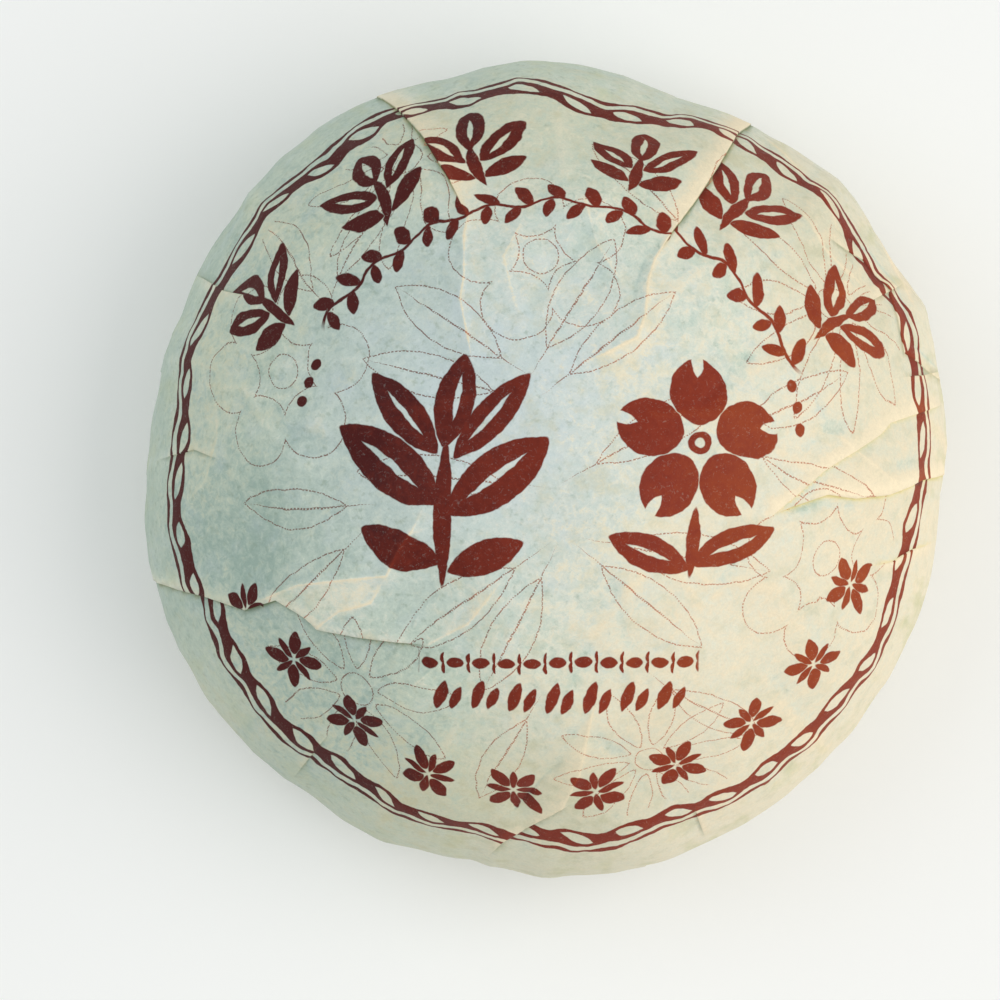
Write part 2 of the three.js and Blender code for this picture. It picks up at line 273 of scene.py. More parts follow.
def spun_section():
    """The section spun round the axis. Its points move to the columns of the pleats and out to
    the uneven outline, and each keeps its place along the section and across its pleat."""
    bm = bmesh.new()
    row_tag = bm.verts.layers.float.new("along")
    column_tag = bm.verts.layers.float.new("share")
    profile = []
    for index in range(len(ROWS["along"])):
        point = bm.verts.new((ROWS["radius"][index], 0, ROWS["height"][index]))
        point[row_tag] = index
        profile.append(point)
    edges = [bm.edges.new(pair) for pair in zip(profile, profile[1:])]
    bmesh.ops.spin(
        bm, geom=profile + edges, cent=(0, 0, 0), axis=(0, 0, 1), angle=math.tau,
        steps=len(PLEAT_EDGES), use_merge=True,
    )
    poles = [point for point in bm.verts if point.co.xy.length < 1e-3]
    bmesh.ops.remove_doubles(bm, verts=poles, dist=1e-3)
    rings = [edge for edge in bm.edges if edge.verts[0][row_tag] == edge.verts[1][row_tag]]
    bmesh.ops.subdivide_edges(bm, edges=rings, cuts=COLUMNS_PER_PLEAT - 1, use_grid_fill=True)
    points = np.array([point.co[:] for point in bm.verts])
    row = np.array([round(point[row_tag]) for point in bm.verts])
    pleat, within = np.divmod(np.arctan2(points[:, 1], points[:, 0]) / math.tau * len(PLEAT_EDGES), 1)
    half = math.pi / len(PLEAT_EDGES)
    across = 0.5 + np.tan((within - 0.5) * 2 * half) / (2 * math.tan(half))
    column = np.round((pleat + across) * COLUMNS_PER_PLEAT).astype(int) % len(COLUMNS)
    turn = np.array([spot[0] for spot in COLUMNS])[column]
    share = np.array([spot[1] for spot in COLUMNS])[column]
    along, radius = ROWS["along"][row], ROWS["radius"][row]
    reach = radius + np.where(radius > 0, outline_share(along, radius) * outline_offset(turn), 0)
    angle = np.radians(turn + swirl(along))
    places = np.stack([reach * np.cos(angle), reach * np.sin(angle), ROWS["height"][row]], axis=1)
    for index, point in enumerate(bm.verts):
        point.co = places[index]
        point[row_tag] = along[index]
        point[column_tag] = share[index]
    bmesh.ops.recalc_face_normals(bm, faces=bm.faces)
    return bm


def beside(x, y, path):
    """Where points lie from a path: signed distance (positive to its left), and the lengths
    along the path to its inner end, which is nearer the crown, and to its outer end."""
    best = np.full(x.shape, np.inf)
    signed = np.zeros(x.shape)
    passed = np.zeros(x.shape)
    length = 0
    for (ax, ay), (bx, by) in zip(path, path[1:]):
        rx, ry = bx - ax, by - ay
        run = math.hypot(rx, ry)
        share = np.clip(((x - ax) * rx + (y - ay) * ry) / run ** 2, 0, 1)
        dx, dy = x - ax - share * rx, y - ay - share * ry
        distance = np.hypot(dx, dy)
        side = np.where(rx * (y - ay) - ry * (x - ax) < 0, -1, 1)
        closer = distance < best
        best = np.where(closer, distance, best)
        signed = np.where(closer, side * distance, signed)
        passed = np.where(closer, length + share * run, passed)
        length += run
    if math.hypot(*path[0]) > math.hypot(*path[-1]):
        return signed, length - passed, passed
    return signed, passed, length - passed


def fold_lines():
    """Every flap, and every small fold in the border marked as one that also dies out at its outer end."""
    return [(flap, False) for flap in FLAPS] + [(painted_fold_shadow, True) for painted_fold_shadow in TUCKS]


def fold_place(x, y, fold, is_tuck):
    """Signed distance from a fold's edge, and how strongly it stands up there."""
    signed, inner, outer = beside(x, y, fold["path"])
    strength = smooth_step(0, fold["fade"], inner)
    if is_tuck:
        strength = strength * smooth_step(0, fold["fade"], outer)
    return signed, strength


CELL = 2.5
CUT_LOWEST = 1.5
CUT_PAST_END = 0.6
CUT_SNAP = 0.01


class OuterFaces:
    """The faces that can be seen from outside the cake, found by where they lie in plan."""

    def __init__(self, bm):
        self.cells = {}
        self.add(bm.faces)

    def add(self, faces):
        for face in faces:
            face.normal_update()
            middle = face.calc_center_median()
            on_top = face.normal.z > 0 or middle.xy.length > FOOT_OUTER
            if on_top and middle.z > CUT_LOWEST:
                cell = (math.floor(middle.x / CELL), math.floor(middle.y / CELL))
                self.cells.setdefault(cell, []).append(face)

    def beside(self, start, end):
        """Faces close to a straight stretch of a path, none of them past its ends."""
        run = Vector(end) - Vector(start)
        length = run.length
        steps = max(2, math.ceil(length / CELL) + 1)
        cells = set()
        for step in range(steps):
            x = (start[0] + run.x * step / (steps - 1)) / CELL
            y = (start[1] + run.y * step / (steps - 1)) / CELL
            around = (-1, 0, 1)
            cells.update((math.floor(x) + i, math.floor(y) + j) for i in around for j in around)
        found = []
        for cell in cells:
            for face in self.cells.get(cell, ()):
                if face.is_valid:
                    offset = face.calc_center_median().xy - Vector(start)
                    if -CUT_PAST_END < offset.dot(run) / length < length + CUT_PAST_END:
                        found.append(face)
        return found


def cut_along(bm, outer, path, offset):
    """Cuts the paper along a path, shifted to its left, so that a fold there has a sharp edge."""
    for start, end in zip(path, path[1:]):
        run = Vector((end[0] - start[0], end[1] - start[1], 0))
        across = Vector((-run.y, run.x, 0)).normalized()
        foot = Vector((start[0], start[1], 0)) + offset * across
        span = outer.beside(start, end)
        edges = {edge for face in span for edge in face.edges}
        points = {point for face in span for point in face.verts}
        made = bmesh.ops.bisect_plane(
            bm, geom=span + list(edges) + list(points), dist=CUT_SNAP, plane_co=foot, plane_no=across,
        )
        known = set(span)
        outer.add(
            part for part in made["geom"] if isinstance(part, bmesh.types.BMFace) and part not in known
        )


def small_creases():
    """Short creases strewn over the dome, most of them running out towards the rim."""
    creases = []
    for _ in range(SMALL_CREASES):
        radius = draw.uniform(16, 54)
        angle = draw.uniform(0, math.tau)
        lean = draw.gauss(0, 0.3 if radius > 38 else 1.0)
        half = draw.uniform(2, 6)
        x, y = radius * math.cos(angle), radius * math.sin(angle)
        dx, dy = half * math.cos(angle + lean), half * math.sin(angle + lean)
        height = draw.choice((-1, 1)) * draw.uniform(0.08, 0.24)
        creases.append({"path": [(x - dx, y - dy), (x + dx, y + dy)], "height": height})
    return creases


def flap_edge(signed):
    """The step at a flap's edge: 0 on the lower sheet and 1 on the upper one."""
    return np.clip((signed + FLAP_STEP) / FLAP_STEP, 0, 1)


def crease_strength(inner, outer):
    """Creases die out at both ends, and more slowly towards the crown."""
    return smooth_step(0, CREASE_FADE, inner) * smooth_step(0, CREASE_END, outer)


def fold_relief(x, y, extra_creases):
    relief = np.zeros(x.shape)
    for fold, is_tuck in fold_lines():
        signed, strength = fold_place(x, y, fold, is_tuck)
        settle = np.exp(-((signed / fold["spread"]) ** 2))
        relief += fold["height"] * flap_edge(signed) * settle * strength
    for crease in CREASES:
        signed, inner, outer = beside(x, y, crease["path"])
        sharp = np.exp(-np.abs(signed) / CREASE_WIDTH)
        shoulder = np.exp(-((signed / CREASE_SHOULDER) ** 2))
        shape = CREASE_SHARP_SHARE * sharp + (1 - CREASE_SHARP_SHARE) * shoulder
        relief += crease["height"] * shape * crease_strength(inner, outer)
    for crease in extra_creases:
        signed, _, _ = beside(x, y, crease["path"])
        relief += crease["height"] * np.exp(-np.abs(signed) / SMALL_CREASE_WIDTH)
    return relief


# Low waves in the pressed tea: radians for each millimetre across and away, and the phase
LUMP_WAVES = [(0.31, 0.17, 0.4), (-0.14, 0.36, 2.1), (0.22, -0.29, 4.0)]
LUMP_HEIGHT = 0.22

# Dents in the paper: size and height in millimetres, and a number that sets where they fall
SOFT_DENTS = (9.0, 0.45, 3.1)
FINE_DENTS = (3.2, 0.12, 8.7)
HOLLOW_DENTS = (2.2, 0.7, 5.5)
FLUTES = (1, 0.45, 1.7)
FLUTE_WIDTH = 6
FLUTE_LENGTH = 30


def lump_relief(x, y):
    return sum(LUMP_HEIGHT * np.sin(wx * x + wy * y + phase) for wx, wy, phase in LUMP_WAVES)


def crumple(points, size, height, seed):
    """Sharp-backed dents in the paper."""
    offset = Vector((seed, seed, seed))
    return np.array([height * (0.5 - abs(noise.noise(Vector(place) + offset))) for place in points / size])


def flute_places(points):
    """Places for long upright dents round the flank, counted in dents."""
    reach = np.hypot(points[:, 0], points[:, 1]) + 1e-9
    ring = RADIUS / FLUTE_WIDTH / reach
    return np.stack([points[:, 0] * ring, points[:, 1] * ring, points[:, 2] / FLUTE_LENGTH], axis=1)


def pleat_relief(along, height, share):
    """The pleats rise from one edge to the next, and on the foot they only sink in."""
    growth = 1 - smooth_step(PLEAT_FULL_HEIGHT, PLEAT_START_HEIGHT, height)
    on_rim = RIM_PLEAT_DEPTH * growth * (1 - smooth_step(RIM + 0.6, FOOT, along))
    in_mouth = HOLLOW_PLEAT_DEPTH * smooth_step(MOUTH, HOLLOW, along)
    on_tail = (HOLLOW_PLEAT_DEPTH - TAIL_PLEAT_DEPTH) * np.clip(along - NECK, 0, 1)
    at_end = TAIL_PLEAT_DEPTH * smooth_step(END, END + 1, along)
    depth = np.where(along < FOOT, on_rim, in_mouth - on_tail - at_end)
    under = smooth_step(RIM + 0.4, FOOT, along) * (1 - smooth_step(MOUTH, MOUTH + 0.7, along))
    return depth * (share - 0.5) - FOOT_PLEAT_DEPTH * under * (1 - share)


def wrapper_relief(points, along, share, extra_creases):
    """How far the paper stands out from the plain section at each point."""
    x, y, height = points[:, 0], points[:, 1], points[:, 2]
    reach = np.hypot(x, y)
    flank = smooth_step(RIM - 0.4, RIM, along)
    outside = (1 - (1 - FLANK_RELIEF) * flank) * (1 - smooth_step(RIM + 0.2, RIM + 0.8, along))
    folds = fold_relief(x, y, extra_creases) + lump_relief(x, y)
    at_rim = smooth_step(46, 54, reach)
    soft = crumple(points, *SOFT_DENTS) * (0.35 + 0.65 * smooth_step(34, 52, reach))
    fine = crumple(points, *FINE_DENTS) * (1 - 0.7 * at_rim)
    flutes = crumple(flute_places(points), *FLUTES) * at_rim
    pressed = smooth_step(RIM + 0.55, RIM + 0.95, along)
    pressed = pressed * (1 - smooth_step(MOUTH + 0.1, MOUTH + 0.6, along))
    ragged = 1 + 0.7 * smooth_step(TUFT + 0.4, END + 0.4, along)
    inner = smooth_step(NECK, TUFT + 0.4, along) * ragged * crumple(points, *HOLLOW_DENTS)
    wrinkles = (1 - pressed) * (soft + fine + flutes) * (along < END + 1)
    return outside * folds + wrinkles + inner + pleat_relief(along, height, share)


def place_points(bm, extra_creases):
    """Moves every point of the plain form out to the folded, crumpled paper."""
    row_tag = bm.verts.layers.float["along"]
    column_tag = bm.verts.layers.float["share"]
    points = np.array([point.co[:] for point in bm.verts])
    along = np.array([point[row_tag] for point in bm.verts])
    share = np.array([point[column_tag] for point in bm.verts])
    relief = wrapper_relief(points, along, share, extra_creases)
    out = np.interp(along, ROWS["along"], ROWS["normal"][0])
    up = np.interp(along, ROWS["along"], ROWS["normal"][1])
    angle = np.arctan2(points[:, 1], points[:, 0])
    aside = relief * out
    shift = np.stack([aside * np.cos(angle), aside * np.sin(angle), relief * up], axis=1)
    for point, place in zip(bm.verts, points + shift):
        point.co = place
    return points, along


# Patches where the paper stands clear of the tea (or clings, if negative): middle, size, amount
SLACK_PATCHES = [
    (40, 22, 14, 0.2), (2, -48, 14, 0.04), (46, -2, 12, 0.12), (32, 40, 12, 0.15), (4, 8, 14, 0.08),
    (-6, 38, 12, 0.2), (-10, 30, 8, -0.05), (-38, -10, 12, -0.3), (-30, -30, 24, -0.4),
    (-10, 14, 12, -0.1), (24, -14, 18, 0.16), (18, -38, 14, 0.06), (-20, 6, 13, -0.2),
    (33, -3.4, 2.4, -0.6), (9, 45, 12, 0.1), (9, -34, 9, 0.1), (-6, -37, 9, 0.1), (9, 36, 9, -0.1),
    (-20, 22, 9, -0.12), (-46, -32, 8, 0.3),
    (-29.5, -17, 3.5, 0.4), (-24.5, -16.5, 3.5, 0.35),
]
BASE_SLACK = 0.42
UNDERSIDE_SLACK = 0.6
SLACK_AND_LIGHT_SLOPE = (0.0070, -0.0045)  # change to the right, and towards the top, per millimetre: lift together with painted light, lighter towards the right where the key light falls
LEAST_SLACK = -0.4
MOST_SLACK = 1.5
# Painted shade on the sheet beside a flap's edge: how strong, and how far it reaches
PAINTED_SHADE_UNDER_FLAP = 0.2
PAINTED_SHADE_REACH = 0.8
# Painted highlight along standing creases, with a lighter lifted band beside them as their lit side, and
# painted shade along sunk creases
RIDGE_HIGHLIGHT = 0.5
LIFT_AND_LIT_SIDE = 0.26
VALLEY_SHADE = -0.35
CREASE_LINE = 0.22  # half the width of the painted highlight or painted shade line along a crease
LIFT_REACH = 2.6
FULL_RIDGE = 0.6  # a crease of this height gets the whole painted highlight and lift
SMALL_CREASE_LIGHT_AND_SHADE = 1.0  # painted highlight or painted shade for each millimetre of a small crease's height
SMALL_CREASE_REACH = 0.7


def paper_slack_and_painted_light(x, y, along, extra_creases):
    """How far the paper has come away from the tea: 0 where it clings, and 1 or more where it stands
    clear. It also holds painted light: lighter towards the right, a painted highlight and a lighter lit
    band along standing creases, and painted shade along sunk creases and beside flap edges."""
    # Painted light with the lift: lighter and creamier towards the right, where the key light falls, and a
    # little darker towards the top
    slack = BASE_SLACK + SLACK_AND_LIGHT_SLOPE[0] * x + SLACK_AND_LIGHT_SLOPE[1] * y
    for cx, cy, spread, amount in SLACK_PATCHES:
        slack += amount * np.exp(-((x - cx) ** 2 + (y - cy) ** 2) / spread ** 2)
    # Lift on the upper sheet beside each fold's edge, and painted shade on the sheet below it
    for fold, is_tuck in fold_lines():
        signed, strength = fold_place(x, y, fold, is_tuck)
        upper = np.where(signed > -FLAP_STEP, np.exp(-((signed / fold["band"]) ** 2)), 0)
        under = np.where(signed > -FLAP_STEP, 0, np.exp(signed / PAINTED_SHADE_REACH))
        slack += (fold["slack"] * upper - PAINTED_SHADE_UNDER_FLAP * under) * strength
    # Painted highlight along each standing crease, with a lifted and painted lit band to its left, and
    # painted shade along each sunk one
    for crease in CREASES:
        signed, inner, outer = beside(x, y, crease["path"])
        line = np.exp(-((signed / CREASE_LINE) ** 2))
        lift_and_painted_light = np.where(signed > -CREASE_CUT / 2, np.exp(-((signed / LIFT_REACH) ** 2)), 0)
        change = VALLEY_SHADE * line
        if crease["height"] > 0:
            change = (RIDGE_HIGHLIGHT * line + LIFT_AND_LIT_SIDE * lift_and_painted_light) * min(1, crease["height"] / FULL_RIDGE)
        slack += change * crease_strength(inner, outer)
    # Painted highlight along small standing creases, and painted shade along sunk ones
    for crease in extra_creases:
        signed, _, _ = beside(x, y, crease["path"])
        slack += crease["height"] * SMALL_CREASE_LIGHT_AND_SHADE * np.exp(-((signed / SMALL_CREASE_REACH) ** 2))
    below = smooth_step(RIM, FOOT + 0.2, along)
    return np.clip(slack + (UNDERSIDE_SLACK - slack) * below, LEAST_SLACK, MOST_SLACK)


# Painted shadow at the foot of each fold's edge: how wide it is, and how strong at tucks
FOLD_SHADOW_WIDTH = 0.2
TUCK_SHADOW_DEPTH = 0.5


def painted_fold_shadow_strength(x, y):
    """Strength of the painted shadow line where a flap's edge meets the sheet under it."""
    shade = np.zeros(x.shape)
    for fold, is_tuck in fold_lines():
        signed, strength = fold_place(x, y, fold, is_tuck)
        line = np.where(signed < -0.5 * FLAP_STEP, np.exp((signed + FLAP_STEP) / FOLD_SHADOW_WIDTH), 0)
        depth = TUCK_SHADOW_DEPTH if is_tuck else 1
        shade = np.maximum(shade, line * depth * np.minimum(1, 1.5 * strength))
    return np.clip(shade, 0, 1)


SHEET_SPAN = 400  # the print map's side stands for this many millimetres of flat paper
# Where the sheet was pulled further down over the rim: angle, spread in degrees, millimetres
PULLS = [(82, 12, 4.0), (124, 8, 1.8), (160, 14, -1.4), (201, 8, 2.5), (290, 10, 1.6)]


def pull(angle, paper):
    """How far the print has been pulled down at a place on the sheet."""
    turns = np.degrees(angle) % 360
    pulled = sum(reach * np.exp(-(((turns - middle) / spread) ** 2)) for middle, spread, reach in PULLS)
    return pulled * smooth_step(34, 56, paper)


def write_print_map(bm, flat, along):
    """Gives each face corner its place on the flat sheet, as the print needs. The sheet jumps
    at each flap, where part of the print is folded away."""
    bm.verts.index_update()
    point_index = np.array([loop.vert.index for face in bm.faces for loop in face.loops])
    middles = np.repeat(flat[point_index].reshape(-1, 3, 3).mean(axis=1), 3, axis=0)
    x, y = flat[point_index, 0], flat[point_index, 1]
    paper = np.interp(along[point_index], ROWS["along"], ROWS["paper"])
    angle = np.arctan2(y, x)
    paper = paper + pull(angle, paper)
    u, v = paper * np.cos(angle), paper * np.sin(angle)
    for fold, is_tuck in fold_lines():
        run = Vector(fold["path"][-1]) - Vector(fold["path"][0])
        across = Vector((-run.y, run.x)).normalized()
        signed, strength = fold_place(x, y, fold, is_tuck)
        face_signed, _ = fold_place(middles[:, 0], middles[:, 1], fold, is_tuck)
        side = np.where(face_signed > -FLAP_STEP, 0.5, -0.5)
        slip = fold["hidden"] * side * strength * np.exp(-((signed / fold["slip"]) ** 2))
        u, v = u + slip * across.x, v + slip * across.y
    sheet = bm.loops.layers.uv.new("sheet")
    loops = (loop for face in bm.faces for loop in face.loops)
    for loop, place in zip(loops, np.stack([u, v], axis=1) / SHEET_SPAN + 0.5):
        loop[sheet].uv = place


def fit_to_frame(bm):
    """Stretches the wrapper, by a hair, into the box of the solid that it stands for."""
    low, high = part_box(CAKE)
    points = np.array([point.co[:] for point in bm.verts])
    own_low, own_high = points.min(axis=0), points.max(axis=0)
    scale = (np.array(high) - np.array(low)) / (own_high - own_low)
    for point in bm.verts:
        point.co = Vector(np.array(low) + (np.array(point.co) - own_low) * scale)


SHARP_ANGLE = math.radians(38)


def make_wrapper():
    bm = spun_section()
    outer = OuterFaces(bm)
    for fold, _ in fold_lines():
        cut_along(bm, outer, fold["path"], 0)
        cut_along(bm, outer, fold["path"], -FLAP_STEP)
    for crease in CREASES:
        for offset in (0, CREASE_CUT, -CREASE_CUT):
            cut_along(bm, outer, crease["path"], offset)
    bmesh.ops.triangulate(bm, faces=bm.faces)
    creases = small_creases()
    flat, along = place_points(bm, creases)
    x, y = flat[:, 0], flat[:, 1]
    slack_tag = bm.verts.layers.float.new("slack")
    fold_shadow_tag = bm.verts.layers.float.new("painted_fold_shadow")
    lift_and_painted_light = paper_slack_and_painted_light(x, y, along, creases)
    # Each point keeps its slack, which holds painted light too, and its painted fold shadow
    for point, slack, painted_fold_shadow in zip(bm.verts, lift_and_painted_light, painted_fold_shadow_strength(x, y) * (along < RIM + 0.6)):
        point[slack_tag] = slack
        point[fold_shadow_tag] = painted_fold_shadow
    write_print_map(bm, flat, along)
    fit_to_frame(bm)
    for face in bm.faces:
        face.smooth = True
    for edge in bm.edges:
        edge.smooth = edge.calc_face_angle(0) < SHARP_ANGLE
    mesh = bpy.data.meshes.new("paper_wrapper")
    bm.to_mesh(mesh)
    bm.free()
    wrapper = bpy.data.objects.new("paper_wrapper", mesh)
    bpy.context.scene.collection.objects.link(wrapper)
    return wrapper


# ---------------------------------------------------------------- finishes


class Value:
    """A value that varies over a surface, so that maths on it adds the nodes that work it out."""

    def __init__(self, finish, socket):
        self.finish = finish
        self.socket = socket

    def math(self, operation, *others):
        return self.finish.math(operation, self, *others)

    def __add__(self, other):
        return self.math("ADD", other)

    def __sub__(self, other):
        return self.math("SUBTRACT", other)

    def __rsub__(self, other):
        return self.finish.math("SUBTRACT", other, self)

    def __mul__(self, other):
        return self.math("MULTIPLY", other)

    def __truediv__(self, other):
        return self.math("DIVIDE", other)

    def __lt__(self, other):
        return self.math("LESS_THAN", other)

    def __gt__(self, other):
        return self.math("GREATER_THAN", other)

    def __abs__(self):
        return self.math("ABSOLUTE")

    __radd__ = __add__
    __rmul__ = __mul__

    def least(self, other):
        return self.math("MINIMUM", other)

    def most(self, other):
        return self.math("MAXIMUM", other)

    def distance(self, place):
        """Distance of a place, as a vector value, from a fixed point (x, y)."""
        return self.finish.vector_math("DISTANCE", self, (*place, 0), output="Value")


class Finish:
    """A material being made: its nodes, and the ways of adding one."""

    def __init__(self, name):
        self.material = bpy.data.materials.new(name)
        self.material.use_nodes = True
        self.tree = self.material.node_tree
        self.shader = self.tree.nodes["Principled BSDF"]

    def node(self, kind, settings=None, inputs=None, output=0):
        made = self.tree.nodes.new(kind)
        for name, setting in (settings or {}).items():
            setattr(made, name, setting)
        for name, value in (inputs or {}).items():
            self.feed(made.inputs[name], value)
        return Value(self, made.outputs[output])

    def feed(self, socket, value):
        if isinstance(value, Value):
            self.tree.links.new(value.socket, socket)
        else:
            socket.default_value = value

    def math(self, operation, *values):
        return self.node("ShaderNodeMath", {"operation": operation}, dict(enumerate(values)))

    def vector_math(self, operation, *values, output=0):
        inputs = dict(enumerate(values))
        return self.node("ShaderNodeVectorMath", {"operation": operation}, inputs, output)

    def vector(self, x, y):
        return self.node("ShaderNodeCombineXYZ", inputs={0: x, 1: y})

    def split(self, vector):
        """The x and y parts of a vector value."""
        node = self.node("ShaderNodeSeparateXYZ", inputs={0: vector}).socket.node
        return Value(self, node.outputs[0]), Value(self, node.outputs[1])

    def noise(self, place, scale, detail=3, roughness=0.5, distortion=0, output=0):
        inputs = {"Vector": place, "Scale": scale, "Detail": detail, "Roughness": roughness}
        return self.node("ShaderNodeTexNoise", inputs={**inputs, "Distortion": distortion}, output=output)

    def spread(self, value, low, high, to_low=0, to_high=1):
        """Maps low..high onto to_low..to_high, and no further."""
        bounds = {0: value, 1: low, 2: high, 3: to_low, 4: to_high}
        return self.node("ShaderNodeMapRange", inputs=bounds)

    def blend(self, share, first, second, kind="MIX"):
        """Mixes two colours."""
        settings = {"data_type": "RGBA", "blend_type": kind}
        return self.node("ShaderNodeMix", settings, {0: share, 6: first, 7: second}, 2)

    def attribute(self, name):
        return self.node("ShaderNodeAttribute", {"attribute_name": name}, output="Fac")


def colour(red, green, blue):
    """A colour as seen on screen, 0 to 255, as the shader's own linear values."""
    def linear(channel):
        share = channel / 255
        return share / 12.92 if share <= 0.04045 else ((share + 0.055) / 1.055) ** 2.4
    return (linear(red), linear(green), linear(blue), 1)


# ---------------------------------------------------------------- the print

# Every shape below gives how far a place lies outside it, in millimetres of flat paper, and
# is negative inside.


def leaf(place, base, tip, width, blunt=0.0):
    """A leaf between its base and its tip: where two equal circles overlap. Its ends are
    pointed, or rounded off over the length "blunt"."""
    base, tip = Vector(base), Vector(tip)
    middle, half = (base + tip) / 2, width / 2
    reach = (tip - base).length / 2
    radius = (reach ** 2 + half ** 2) / (2 * half)
    across = (tip - base).orthogonal().normalized() * (radius - half)
    one, other = place.distance(middle + across), place.distance(middle - across)
    return (one.math("SMOOTH_MAX", other, blunt) if blunt else one.most(other)) - radius


def dot(place, middle, radius):
    return place.distance(middle) - radius


BLUNT = 0.9


def leaves(place, rows, blunt=BLUNT):
    """Several leaves as one shape; each row is base x, base y, tip x, tip y, width."""
    shape = None
    for bx, by, tx, ty, width in rows:
        one = leaf(place, (bx, by), (tx, ty), width, blunt)
        shape = one if shape is None else shape.least(one)
    return shape


def petal_wheel(finish, sheet, middle, petals, turn=0):
    """Turns a place about a flower's middle into the nearest petal's own place, with x along
    the petal and y across it."""
    offset = finish.vector_math("SUBTRACT", sheet, (*middle, 0))
    radius = finish.vector_math("LENGTH", offset, output="Value")
    x, y = finish.split(offset)
    step = math.tau / petals
    local = (y.math("ARCTAN2", x) - math.radians(turn)).math("WRAP", step / 2, -step / 2)
    return finish.vector(radius * local.math("COSINE"), radius * local.math("SINE")), radius


PRINT_MIDDLE = (0.0, 0.4)
INK_WANDER = 0.26
WANDER_NOISE = (0.6, 2)
CRUMPLE_NOISE = (0.11, 2)
RIM_PUSH = (-2.4, -3.8, 0)  # how far the print lies off its place at the rim, in waves


class Sheet:
    """The flat sheet of paper that the print lies on, in millimetres from its middle."""

    def __init__(self, finish):
        uv = finish.node("ShaderNodeUVMap", {"uv_map": "sheet"})
        offset = -SHEET_SPAN / 2
        middle = (offset - PRINT_MIDDLE[0], offset - PRINT_MIDDLE[1], 0)
        inputs = {"Vector": uv, "Location": middle, "Scale": (SHEET_SPAN,) * 3}
        flat = finish.node("ShaderNodeMapping", inputs=inputs)
        wander = finish.noise(flat, *WANDER_NOISE, output=1)
        wavy = finish.vector_math("MULTIPLY_ADD", wander, (INK_WANDER * 2, INK_WANDER * 2, 0), flat)
        crumple = finish.noise(flat, *CRUMPLE_NOISE, output=1)
        edge = finish.spread(flat.distance((0, 0)), 36, 54)
        push = finish.node("ShaderNodeVectorMath", {"operation": "SCALE"}, {0: crumple, "Scale": edge})
        self.place = finish.vector_math("MULTIPLY_ADD", push, RIM_PUSH, wavy)
        self.finish = finish
        self.x, self.y = finish.split(self.place)
        self.radius = finish.vector_math("LENGTH", self.place, output="Value")
        self.angle = self.y.math("ARCTAN2", self.x)

    def ring(self, radius, start, step, count):
        """Places repeated along an arc: across and outward from each one's middle, and whether
        a place lies within the arc."""
        share = (self.angle - math.radians(start)) / math.radians(step)
        across = (share.math("FRACT") - 0.5) * (math.radians(step) * radius)
        inside = abs(share - count / 2) - count / 2
        return across, self.radius - radius, inside

    def row(self, left, height, step, count):
        """Places repeated along a straight row."""
        share = (self.x - left) / step
        across = (share.math("FRACT") - 0.5) * step
        inside = abs(share - count / 2) - count / 2
        return across, self.y - height, inside


INK_EDGE = 0.07


def inked(finish, shape):
    """Turns a shape into ink: 1 inside it and 0 outside, with a thin soft edge."""
    return finish.spread(shape, -INK_EDGE, INK_EDGE, 1, 0)


BORDER_RADIUS = 58.0
BORDER_LINKS = 48


def chain_border(finish, sheet):
    """The traditional linked border: a band that swells round slanting openings, with a line
    of changing thickness outside it."""
    across, outward, _ = sheet.ring(BORDER_RADIUS, -180, 360 / BORDER_LINKS, BORDER_LINKS)
    swell = (across * (BORDER_LINKS / BORDER_RADIUS)).math("COSINE")
    band = abs(outward) - (swell * 0.35 + 1.5)
    opening = leaf(finish.vector(across, outward), (-2.1, -0.65), (2.1, 0.65), 1.9)
    line = abs(outward - swell * 0.25 - 2.75) + (swell * 0.14 - 0.34)
    return band.most(0 - opening).least(line)


def sprig_arc(finish, sheet):
    """Bold five-leaved sprigs along the top of the dome."""
    across, outward, inside = sheet.ring(47.4, 12.9, 25.2, 6)
    place = finish.vector(abs(across), outward)
    sprig = leaves(place, [
        (0, -0.6, 0, 6.8, 3.9), (0.8, -2.6, 7.0, 3.0, 3.5), (0.5, -5.6, 6.6, -2.6, 2.7),
        (0, -7.4, 0, 0.6, 1.7),
    ], 0.5)
    ribs = leaves(place, [(0, 0.9, 0, 5.0, 0.8), (2.2, -1.4, 5.2, 1.5, 0.7)], 0)
    return sprig.most(0 - ribs).most(inside)


def garland_arc(finish, sheet):
    """A fine garland of small leaves inside the arc of sprigs, with three dots at each end."""
    across, outward, inside = sheet.ring(36.2, 22, 14, 9)
    place = finish.vector(across, outward)
    wave = (across * (math.tau / 8.85)).math("SINE")
    vine = abs(outward - wave * 0.55) - 0.24
    small = leaves(place, [
        (-3.6, -0.5, -1.4, 2.9, 1.8), (-2.0, -0.3, 0.6, -2.9, 1.7), (0.9, 0.4, 3.4, 2.8, 1.7),
        (2.4, 0.5, 3.6, -2.5, 1.6),
    ], 0.5)
    garland = vine.least(small).most(inside)
    for start in (154, 8.5):
        across, outward, inside = sheet.ring(34.6, start, 4.4, 3)
        dots = dot(finish.vector(across, outward), (0, 0), 0.78)
        garland = garland.least(dots.most(inside))
    return garland


def floret_arc(finish, sheet):
    """Small eight-petalled florets along the bottom of the dome."""
    across, outward, inside = sheet.ring(47.8, -162.7, 14.6, 10)
    place = finish.vector(abs(across), abs(outward))
    floret = leaves(place, [
        (0.5, 0.6, 3.3, 3.4, 2.1), (0, 0.2, 0, 4.0, 1.2), (0.2, 0, 4.0, 0, 1.2),
    ], 0.5)
    return floret.most(inside)


